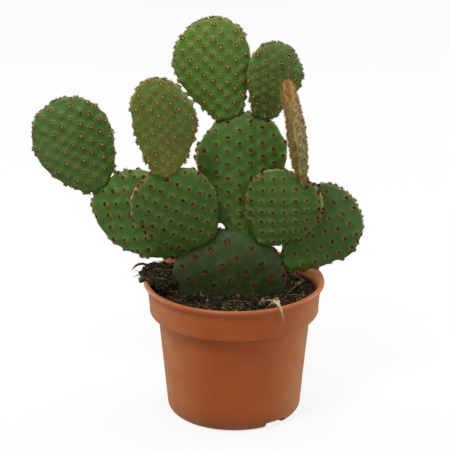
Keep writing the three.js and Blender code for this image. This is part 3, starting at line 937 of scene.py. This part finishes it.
def pot_outline():
    """The pot's section, from the axis along the underside, up the wall and back down inside."""
    wall_foot = FOOT_ROUND + 2
    roll = LIP_DEPTH / 2
    foot_centre = WALL_FOOT - FOOT_ROUND
    inner_neck = NECK_RADIUS - POT_WALL
    inner_foot = WALL_FOOT - POT_WALL
    return [
        (0, 0),
        (DISC_RADIUS, 0),
        (DISC_RADIUS + 1, FLOOR_HEIGHT - FLOOR_THICKNESS),
        (foot_centre - 1.5, FLOOR_HEIGHT - FLOOR_THICKNESS),
        (foot_centre - 1, 0),
        *arc(foot_centre, wall_foot - 2, FOOT_ROUND, -90, -8, 8),
        (NECK_RADIUS - 0.2, WALL_TOP - 4),
        (NECK_RADIUS, WALL_TOP - 2),
        (NECK_RADIUS + 0.8, WALL_TOP - 1.3),
        (COLLAR_FOOT - 3, WALL_TOP - 1),
        *arc(COLLAR_FOOT - 1.6, WALL_TOP + 0.6, 1.6, -90, -2, 6),
        (COLLAR_FOOT, WALL_TOP + COLLAR_STEP),
        (COLLAR_TOP, POT_HEIGHT - LIP_DEPTH - 0.9),
        (COLLAR_TOP + 0.1, POT_HEIGHT - LIP_DEPTH - 0.6),
        *arc(LIP_RADIUS - roll, POT_HEIGHT - roll, roll, -60, 90, 12),
        (LIP_RADIUS - roll - 1.5, POT_HEIGHT - 0.4),
        (COLLAR_TOP - POT_WALL, POT_HEIGHT - LIP_DEPTH),
        (COLLAR_FOOT - POT_WALL, WALL_TOP + COLLAR_STEP + 1),
        (inner_neck + 1, WALL_TOP + 1),
        (inner_neck, WALL_TOP - 2),
        (inner_foot, wall_foot + 1),
        (inner_foot - 2.5, FLOOR_HEIGHT),
        (DISC_RADIUS - 1, FLOOR_HEIGHT),
        (DISC_RADIUS - 2, FLOOR_THICKNESS),
        (0, FLOOR_THICKNESS),
    ]


def divided(profile, pitch):
    """A profile with points added on its long straights, so that the wall can be uneven."""
    dense = [profile[0]]
    for start, end in zip(profile, profile[1:]):
        steps = max(1, int(math.dist(start, end) / pitch))
        for step in range(1, steps + 1):
            share = step / steps
            dense.append((start[0] + (end[0] - start[0]) * share, start[1] + (end[1] - start[1]) * share))
    return dense


def cutter(shape, **sizes):
    """A block or bar that is cut out of the pot."""
    bm = bmesh.new()
    shape(bm, **sizes)
    mesh = bpy.data.meshes.new("cutter")
    bm.to_mesh(mesh)
    bm.free()
    return linked("cutter", mesh)


def drain_cutters():
    """The drain holes in the floor and the notches in the foot."""
    cutters = []
    ring = (DISC_RADIUS + WALL_FOOT - FOOT_ROUND) / 2
    for index in range(HOLES):
        angle = (index + 0.5) / HOLES * 2 * math.pi
        middle = Matrix.Translation(Vector((ring * math.cos(angle), ring * math.sin(angle), 0)) * MM)
        cutters.append(cutter(
            bmesh.ops.create_cone, cap_ends=True, segments=HOLE_SIDES, radius1=HOLE_RADIUS * MM,
            radius2=HOLE_RADIUS * MM, depth=4 * FLOOR_HEIGHT * MM, matrix=middle))
    for angle in NOTCH_ANGLES:
        size = Matrix.Diagonal((4 * FOOT_ROUND * MM, NOTCH_WIDTH * MM, 2 * NOTCH_HEIGHT * MM, 1))
        middle = (
            Matrix.Rotation(math.radians(angle), 4, "Z")
            @ Matrix.Translation(Vector((WALL_FOOT * MM, 0, 0))) @ size)
        cutters.append(cutter(bmesh.ops.create_cube, size=1, matrix=middle))
    return cutters


def pot_material():
    s = Shader("terracotta plastic")
    height = s.add("ShaderNodeSeparateXYZ", {0: s.coordinates}).outputs[2]
    streaks = s.noise(22, 3, 0.5)
    patchy = s.noise(3, 6, 0.7)
    fine = s.noise(0.8, 4, 0.6)
    colour = s.mix(s.ranged(streaks, 0.3, 0.7), (202, 98, 42), (214, 108, 48))
    # Darker towards the bottom, in patches, within 16 mm of the floor.
    foot = s.times(s.ranged(height, 0.016, 0.0), s.ranged(patchy, 0.3, 0.7, 0.3, 0.8))
    colour = s.mix(foot, colour, (104, 58, 36))
    dust = s.times(s.ranged(patchy, 0.54, 0.74), s.ranged(fine, 0.4, 0.6, 0.05, 0.25))
    colour = s.mix(dust, colour, (196, 150, 120))
    rim = s.ranged(height, 0.0885, 0.0915)
    soiled = s.times(rim, s.ranged(patchy, 0.52, 0.66, 0, 0.4))
    colour = s.mix(soiled, colour, (88, 62, 42))
    patches = s.ranged(s.noise(20), 0.5, 0.65, 0, 0.7)
    specks = s.times(s.ranged(s.cells(3.4), 0.08, 0.04), patches)
    colour = s.mix(specks, colour, (220, 196, 170))
    # Painted sheen: the colour pales towards a warm tan where the wall turns away from view, in uneven
    # patches, in place of the satin wall's reflection of bright surroundings.
    facing = s.add("ShaderNodeLayerWeight", {"Blend": 0.5}).outputs["Facing"]
    sheen_patchiness = s.ranged(s.noise(14, 4, 0.6), 0.35, 0.65, 0.5, 0.9)
    sheen = s.times(s.ranged(facing, 0.12, 0.7, 0.0, 0.62), sheen_patchiness)
    colour = s.mix(sheen, colour, (228, 172, 114))
    rough = s.ranged(s.maths("ADD", streaks, dust), 0.3, 1.0, 0.36, 0.5)
    normal = s.bump(fine, 0.04, 0.3, s.bump(s.noise(26, 2), 0.4, 0.25))
    return s.finish(
        colour, rough, normal, Specular_IOR_Level=0.4, Subsurface_Weight=0.04, Subsurface_Scale=0.002)


def make_pot():
    obj = turned("pot_shell", divided(pot_outline(), POT_PITCH), POT_STEPS, pot_material())
    cutters = drain_cutters()
    for tool in cutters:
        modifier = obj.modifiers.new("cut", "BOOLEAN")
        modifier.operation = "DIFFERENCE"
        modifier.solver = "EXACT"
        modifier.object = tool
    made_plain(obj)
    for tool in cutters:
        bpy.data.objects.remove(tool)
    points, _ = surface(obj)
    lift = uneven(points, POT_WAVES, 901)
    radial = points * np.array([1, 1, 0])
    radial /= np.maximum(np.linalg.norm(radial, axis=1), 1)[:, None]
    share = smoothstep(points[:, 2], EVEN_BELOW, UNEVEN_ABOVE)
    place(obj, points + radial * (lift * share)[:, None])
    obj.data.set_sharp_from_angle(angle=math.radians(SHARP_EDGE))
    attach(obj, "root")
    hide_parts("pot")


# ---- Soil and what lies on it ------------------------------------------------------------------

def soil_height(x, y):
    """The soil's top: the design's low crown, roughened, and banked up against the wall in places."""
    radius = np.hypot(x, y)
    flat = np.stack([x, y, np.zeros_like(x)], axis=-1)
    crown = np.interp(radius, [0, 20, SOIL_RIM - 8, SOIL_RIM], [0.3 * SOIL_CROWN, 0, -0.5, -1])
    rough = uneven(flat, SOIL_WAVES, 501)
    heap_x, heap_y = HEAP_PLACE
    heap = HEAP_HEIGHT * np.exp(-((x - heap_x) ** 2 + (y - heap_y) ** 2) / HEAP_RADIUS ** 2)
    return SOIL_LEVEL + crown + rough + heap - SOIL_SINK


def soil_material(name, dark, light):
    s = Shader(name)
    lumps = s.noise(2.4, 6, 0.7)
    grit = s.noise(0.7, 4, 0.7)
    colour = s.mix(s.ranged(lumps, 0.42, 0.74), dark, light)
    pale = s.times(s.ranged(s.cells(1.9), 0.2, 0.1), s.ranged(s.noise(9), 0.5, 0.6, 0, 0.8))
    colour = s.mix(pale, colour, (136, 118, 86))
    return s.finish(colour, 0.93, s.bump(grit, 0.5, 0.8, s.bump(lumps, 1.1, 0.7)), Specular_IOR_Level=0.2)


def make_soil(material):
    """The soil in the pot: a rough top, and sides that follow the pot's inner wall down to its floor."""
    radii = np.append(np.arange(SOIL_PITCH, SOIL_RIM, SOIL_PITCH), SOIL_RIM)
    angles = np.arange(SOIL_STEPS) * 2 * math.pi / SOIL_STEPS
    grid_r, grid_a = np.meshgrid(radii, angles, indexing="ij")
    x, y = (grid_r * np.cos(grid_a)).ravel(), (grid_r * np.sin(grid_a)).ravel()
    top = np.stack([x, y, soil_height(x, y)], axis=-1)
    bottom = FLOOR_HEIGHT + 2 * CLEARANCE
    profile = [
        (SOIL_RIM, WALL_TOP + COLLAR_STEP + 2),
        (NECK_RADIUS - POT_WALL + 0.5, WALL_TOP + 1.6),
        (NECK_RADIUS - POT_WALL - CLEARANCE, WALL_TOP - 3),
        (WALL_FOOT - POT_WALL - CLEARANCE - 0.3, FOOT_ROUND + 4),
        (WALL_FOOT - POT_WALL - 3.4, bottom),
        (DISC_RADIUS, bottom)]
    under = [(r * math.cos(a), r * math.sin(a), h) for r, h in profile for a in angles]
    peak = (0, 0, SOIL_LEVEL + SOIL_CROWN - 0.4)
    vertices = np.concatenate([[peak], top, under, [(0, 0, bottom)]])
    poles = (0, len(vertices) - 1)
    faces = closed_grid(len(radii) + len(profile), SOIL_STEPS, 1, poles, turned_over=True)
    obj = piece_from("soil_surface", vertices, faces, [material])
    shade_smooth(obj)
    return obj


def lump_tree():
    """Scatters broken lumps, turned at random, on the faces that `share` marks. Most are small."""
    b = Builder("scattered_lumps", [
        ("Spacing", "Float", 0.001), ("Per square metre", "Float", 1e5), ("Smallest", "Float", 0.0004),
        ("Largest", "Float", 0.0012), ("Flatness", "Float", 0.6), ("Lump skin", "Material", None),
        ("Seed", "Int", 1)])
    g = b.given
    ball = b.add("GeometryNodeMeshIcoSphere", {"Radius": 1.0, "Subdivisions": 2}).outputs[0]
    lump = b.shifted(ball, b.push(1.1, 2.0, 1.3))
    turn = b.random((0, 0, 0), (6.28, 6.28, 6.28), g["Seed"], "FLOAT_VECTOR")
    skewed = b.maths("POWER", b.random(0, 1, b.maths("ADD", g["Seed"], 5)), 2.4)
    extra = b.times(skewed, b.maths("SUBTRACT", g["Largest"], g["Smallest"]))
    size = b.maths("ADD", g["Smallest"], extra)
    shape = b.xyz(size, b.times(size, 0.8), b.times(size, g["Flatness"]))
    placed = b.instances(b.scattered(), lump, turn, shape)
    tinted = b.store(placed, "shade", b.random(0, 1, 77), "INSTANCE")
    return b.end(b.coated(tinted, g["Lump skin"]))


def fibre_tree():
    """Scatters bent, thin fibres that lie nearly flat on the faces that `share` marks."""
    b = Builder("scattered_fibres", [
        ("Spacing", "Float", 0.001), ("Per square metre", "Float", 1e5), ("Length", "Float", 0.012),
        ("Thickness", "Float", 0.00015), ("Lift", "Float", 0.0006), ("Rise", "Float", 0.35),
        ("Fibre skin", "Material", None), ("Seed", "Int", 1)])
    g = b.given
    line = b.add("GeometryNodeCurvePrimitiveLine", {"Start": (-0.5, 0, 0), "End": (0.5, 0, 0)}).outputs[0]
    fine = b.add("GeometryNodeResampleCurve", {"Curve": line, "Count": 7}).outputs[0]
    turn = b.random((-0.35, -0.35, 0), (0.35, 0.35, 6.28), g["Seed"], "FLOAT_VECTOR")
    long = b.times(g["Length"], b.random(0.4, 1.2, b.maths("ADD", g["Seed"], 3)))
    placed = b.instances(b.scattered(), fine, turn, long)
    tinted = b.store(placed, "shade", b.random(0, 1, 78), "INSTANCE")
    real = b.add("GeometryNodeRealizeInstances", {"Geometry": tinted}).outputs[0]
    bend = b.push(130.0, 1.0, b.times(g["Length"], g["Rise"]))
    bent = b.shifted(real, b.vector("ADD", bend, b.xyz(z=g["Lift"])))
    ring = b.add("GeometryNodeCurvePrimitiveCircle", {"Resolution": 4, "Radius": g["Thickness"]}).outputs[0]
    tube = b.add("GeometryNodeCurveToMesh", {"Curve": bent, "Profile Curve": ring, "Fill Caps": True})
    return b.end(b.coated(tube.outputs[0], g["Fibre skin"]))


def ground_patch(name, obj, share):
    """A copy of a surface, marked with how much may lie on each part of it."""
    patch = linked(name, obj.data.copy())
    attribute(patch, "share", share)
    return patch


def shaded_material(name, dark, light, rough=0.9, skew=1.0):
    s = Shader(name)
    grain = s.noise(0.9, 4, 0.7)
    colour = s.mix(s.maths("POWER", s.own("shade"), skew), dark, light)
    colour = s.mix(s.ranged(grain, 0.35, 0.7, 0, 0.5), colour, dark)
    return s.finish(colour, rough, s.bump(grain, 0.2, 0.6), Specular_IOR_Level=0.2)


def litter(ground, share, lumps, fibres, skins, density, seed, prefix):
    """Clods, grit, perlite and fibres on a surface of soil. `density` scales how many there are."""
    pieces = []
    for index, (name, spacing, smallest, largest, number, skin) in enumerate(LUMPS):
        patch = ground_patch(prefix + "_" + name, ground, share)
        pieces.append(grow(
            patch, lumps, Spacing=spacing * MM, Per_square_metre=number * density,
            Smallest=smallest * MM, Largest=largest * MM, Flatness=0.7, Lump_skin=skins[skin],
            Seed=seed + index))
    patch = ground_patch(prefix + "_fibres", ground, share)
    pieces.append(grow(
        patch, fibres, Spacing=FIBRE_SPACING * MM, Per_square_metre=FIBRES_PER_METRE * density,
        Length=FIBRE_LENGTH * MM, Thickness=FIBRE_THICKNESS * MM, Lift=0.5 * MM, Rise=0.3,
        Fibre_skin=skins["fibres"], Seed=seed + 9))
    return pieces


def open_ground(points, outward):
    """1 where a point of soil faces up and lies outside every pad."""
    share = smoothstep(outward[:, 2], 0.25, 0.6)
    for name in PADS:
        share[inside_pad(name, points, LITTER_OFF_PADS)] = 0
    return share


def make_ground():
    """The soil, the crumbled mound and all that lies on them."""
    skins = {
        "clods": shaded_material("crumbs of soil", (24, 23, 15), (186, 160, 112), skew=3.2),
        "perlite": shaded_material("perlite", (140, 132, 112), (206, 200, 184)),
        "fibres": shaded_material("coir fibres", (84, 62, 38), (206, 178, 124), skew=1.6)}
    lumps, fibres = lump_tree(), fibre_tree()
    earth = soil_material("potting soil", (17, 18, 12), (88, 76, 50))
    soil = make_soil(earth)
    points, outward = surface(soil)
    share = open_ground(points, outward) * (points[:, 2] > SOIL_LEVEL - LITTER_DEPTH)
    share *= np.hypot(points[:, 0], points[:, 1]) < SOIL_RIM - LITTER_OFF_WALL
    pieces = litter(soil, share, lumps, fibres, skins, 1, SOIL_SEED, "soil")
    mound = make_mound(earth)
    points, outward = surface(mound)
    share = open_ground(points, outward)
    pieces += litter(mound, share, lumps, fibres, skins, MOUND_DENSITY, MOUND_SEED, "mound")
    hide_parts("soil")
    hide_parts("soil_mound")
    for piece in (soil, mound, *pieces):
        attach(piece, "root")


def remeshed(name, node, pitch):
    """A new mesh over a CAD node's shape, with even faces of about `pitch` millimetres."""
    obj = linked(name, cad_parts[node].data.copy())
    obj.data.materials.clear()
    bm = bmesh.new()
    bm.from_mesh(obj.data)
    bmesh.ops.remove_doubles(bm, verts=bm.verts, dist=1e-5)
    bm.to_mesh(obj.data)
    bm.free()
    modifier = obj.modifiers.new("even", "REMESH")
    modifier.mode = "VOXEL"
    modifier.voxel_size = pitch * MM
    smooth = obj.modifiers.new("soft", "SMOOTH")
    smooth.iterations = 6
    return made_plain(obj)


def make_mound(material):
    """Old root ball, crumbled at the pot's left edge."""
    obj = remeshed("soil_crumble", "soil_mound", MOUND_PITCH)
    points, outward = surface(obj)
    lift = uneven(points, MOUND_WAVES, 601) - MOUND_SINK
    points = points + outward * lift[:, None]
    above = np.maximum(points[:, 2] - SOIL_LEVEL, 0)
    points[:, 2] -= MOUND_SLUMP * above
    place(obj, points)
    obj.data.materials.append(material)
    shade_smooth(obj)
    return obj


def stalk(route, radii, sides, pitch, rough, seed):
    """A closed, uneven stalk along a route: its points, its faces and the share of its length at each."""
    route = np.asarray(route, float)
    run = run_of(route)
    steps = max(6, int(run[-1] / pitch))
    shares = np.linspace(0, 1, steps + 1)
    middle = np.stack([np.interp(shares * run[-1], run, route[:, axis]) for axis in range(3)], axis=-1)
    for _ in range(steps // 2):
        middle[1:-1] = (middle[:-2] + 2 * middle[1:-1] + middle[2:]) / 4
    heading = np.gradient(middle, axis=0)
    heading /= np.linalg.norm(heading, axis=1)[:, None]
    side = np.cross(heading, (0.3, 0.2, 0.93))
    side /= np.linalg.norm(side, axis=1)[:, None]
    up = np.cross(side, heading)
    radius = np.interp(shares, np.linspace(0, 1, len(radii)), radii)
    angles = np.arange(sides) * 2 * math.pi / sides
    ring = side[:, None] * np.cos(angles)[None, :, None] + up[:, None] * np.sin(angles)[None, :, None]
    points = (middle[:, None] + ring * radius[:, None, None]).reshape(-1, 3)
    lumps = waves(points, 2.5, seed, 20) * rough
    points = points + ring.reshape(-1, 3) * (lumps * np.repeat(radius, sides))[:, None]
    vertices = np.concatenate([points, middle[:1], middle[-1:]])
    faces = closed_grid(len(middle), sides, 0, (len(points), len(points) + 1))
    return vertices, faces, np.concatenate([np.repeat(shares, sides), [0, 1]])


def stalks(name, parts, material):
    """One piece of several stalks."""
    vertices, faces, shares = [], [], []
    for part_vertices, part_faces, part_shares in parts:
        start = sum(len(block) for block in vertices)
        faces += [tuple(index + start for index in face) for face in part_faces]
        vertices.append(part_vertices)
        shares.append(part_shares)
    obj = piece_from(name, np.concatenate(vertices), faces, [material])
    attribute(obj, "shade", np.concatenate(shares))
    shade_smooth(obj)
    return obj


def make_strand():
    """The dead root: it climbs over the rim and hangs outside it."""
    def at(radius, height, aside):
        return (
            radius * math.cos(STRAND_ANGLE) - aside * math.sin(STRAND_ANGLE),
            radius * math.sin(STRAND_ANGLE) + aside * math.cos(STRAND_ANGLE),
            height)
    clear = CLEARANCE + STRAND_RADIUS
    over = POT_HEIGHT + clear
    outside = LIP_RADIUS + clear
    route = [
        at(LIP_RADIUS - 14, SOIL_LEVEL + clear + 1.6, 7),
        at(LIP_RADIUS - 8, SOIL_LEVEL + clear + 3.4, 3.5),
        at(LIP_RADIUS - 4.2, over - 0.6, 1),
        at(LIP_RADIUS - 1, over + 0.6, 0),
        at(outside + 0.5, POT_HEIGHT - 1, 0),
        at(outside + 0.6, POT_HEIGHT - 5, 0.8),
        at(outside + 0.2, POT_HEIGHT - 10, 2.6)]
    radii = [share * STRAND_RADIUS for share in (0.4, 0.6, 0.85, 0.95, 0.75, 0.5, 0.15)]
    parts = [stalk(route, radii, 14, 0.35, 0.16, 701)]
    rng = np.random.default_rng(702)
    for index in range(ROOTLETS):
        inwards = rng.uniform(12, 25)
        aside = rng.uniform(-3, 13)
        rootlet = [
            at(LIP_RADIUS - 2.5, over + 0.2, rng.uniform(-0.6, 0.6)),
            at(LIP_RADIUS - 6, over + rng.uniform(0, 2), 0.25 * aside),
            at(
                LIP_RADIUS - 0.6 * inwards - 2, SOIL_LEVEL + rng.uniform(6, 9),
                0.6 * aside + rng.uniform(-1, 1)),
            at(LIP_RADIUS - inwards, SOIL_LEVEL + rng.uniform(2, 5), aside)]
        parts.append(stalk(rootlet, (0.45, 0.38, 0.3, 0.12), 7, 0.5, 0.2, 703 + index))
    skin = shaded_material("dead root", (236, 220, 178), (196, 150, 98), 0.8)
    obj = stalks("dead_root", parts, skin)
    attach(obj, "root")
    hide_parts("root_strand")


def make_leaf():
    """The dried leaf stalk that sticks out of the crumbled soil over the pot's left edge."""
    top = SOIL_LEVEL + MOUND_RISE + MOUND_HEIGHT

    def at(radius, height, aside):
        return (-radius, LEAF_SIDE + aside, top + height)
    route = [
        at(LIP_RADIUS - 7, -1, 0), at(LIP_RADIUS - 3, 1, 0), at(LIP_RADIUS + 2, 3, -2),
        at(LIP_RADIUS + 5, 2.4, -4), at(LIP_RADIUS + 7.5, 0, -6)]
    radii = [share * LEAF_RADIUS for share in (0.7, 1, 0.95, 0.8, 0.25)]
    skin = shaded_material("dried leaf", (62, 50, 34), (108, 84, 54), 0.85)
    obj = stalks("dried_stalk", [stalk(route, radii, 12, 0.3, 0.25, 711)], skin)
    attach(obj, "root")
    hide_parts("dead_leaf")


def make_roots():
    """The living roots under the soil."""
    skin = shaded_material("living root", (190, 158, 108), (150, 116, 74), 0.8)
    obj = remeshed("live_roots", "roots", ROOT_PITCH)
    points, outward = surface(obj)
    place(obj, points + outward * uneven(points, ROOT_WAVES, 721)[:, None])
    attribute(obj, "shade", np.full(len(points), 0.4))
    obj.data.materials.append(skin)
    shade_smooth(obj)
    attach(obj, "root")
    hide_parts("roots")


# ---- Stage -------------------------------------------------------------------------------------

CAMERA_PLACE = Vector((-0.006, -1.2231, 0.5699))
CAMERA_AIM = Vector((-0.006, 0, 0.1295))
CAMERA_LENS = 158.6
CAMERA_SENSOR = 36
FLOOR_SIZE = 30
FLOOR_GREY = (120, 120, 120)
FLOOR_GLOW = 0.84
SURROUNDINGS = 0.28

# Soft round lights: name, place, height aimed at, size in metres and power in watts.
LIGHTS = (
    ("key", (-0.5, -0.8, 1.6), 0.12, 0.55, 10.5),
    ("fill", (1.1, -1.2, 0.7), 0.12, 1.0, 3),
    ("top", (0.1, 0.3, 1.7), 0.12, 1.0, 6),
    ("left side", (-1.35, 0.6, 0.3), 0.1, 1.0, 9),
    ("right side", (1.35, 0.6, 0.3), 0.1, 1.0, 9))


def soft_light(name, spot, aim, size, power):
    data = bpy.data.lights.new(name, "AREA")
    data.shape = "DISK"
    data.size = size
    data.energy = power
    light = linked(name, data)
    light.location = spot
    light.rotation_euler = (Vector((0, 0, aim)) - Vector(spot)).to_track_quat("-Z", "Y").to_euler()


def make_stage():
    world = bpy.data.worlds.new("studio")
    world.use_nodes = True
    background = world.node_tree.nodes["Background"]
    background.inputs["Color"].default_value = (1, 1, 1, 1)
    background.inputs["Strength"].default_value = SURROUNDINGS
    bpy.context.scene.world = world

    s = Shader("pale floor")
    s.finish(
        srgb(*FLOOR_GREY), 1.0, Specular_IOR_Level=0.0, Emission_Color=(1, 1, 1, 1),
        Emission_Strength=FLOOR_GLOW)
    half = FLOOR_SIZE / 2 / MM
    corners = [(-half, -half, 0), (half, -half, 0), (half, half, 0), (-half, half, 0)]
    floor = piece_from("floor", corners, [(0, 1, 2, 3)], [s.material])
    floor.visible_diffuse = False
    floor.visible_glossy = False

    for light in LIGHTS:
        soft_light(*light)

    data = bpy.data.cameras.new("camera")
    data.lens = CAMERA_LENS
    data.sensor_width = CAMERA_SENSOR
    camera = linked("camera", data)
    camera.location = CAMERA_PLACE
    camera.rotation_euler = (CAMERA_AIM - CAMERA_PLACE).to_track_quat("-Z", "Y").to_euler()
    bpy.context.scene.camera = camera
    bpy.context.scene.view_settings.view_transform = "Standard"


make_plant()
make_pot()
make_ground()
make_strand()
make_leaf()
make_roots()
make_stage()
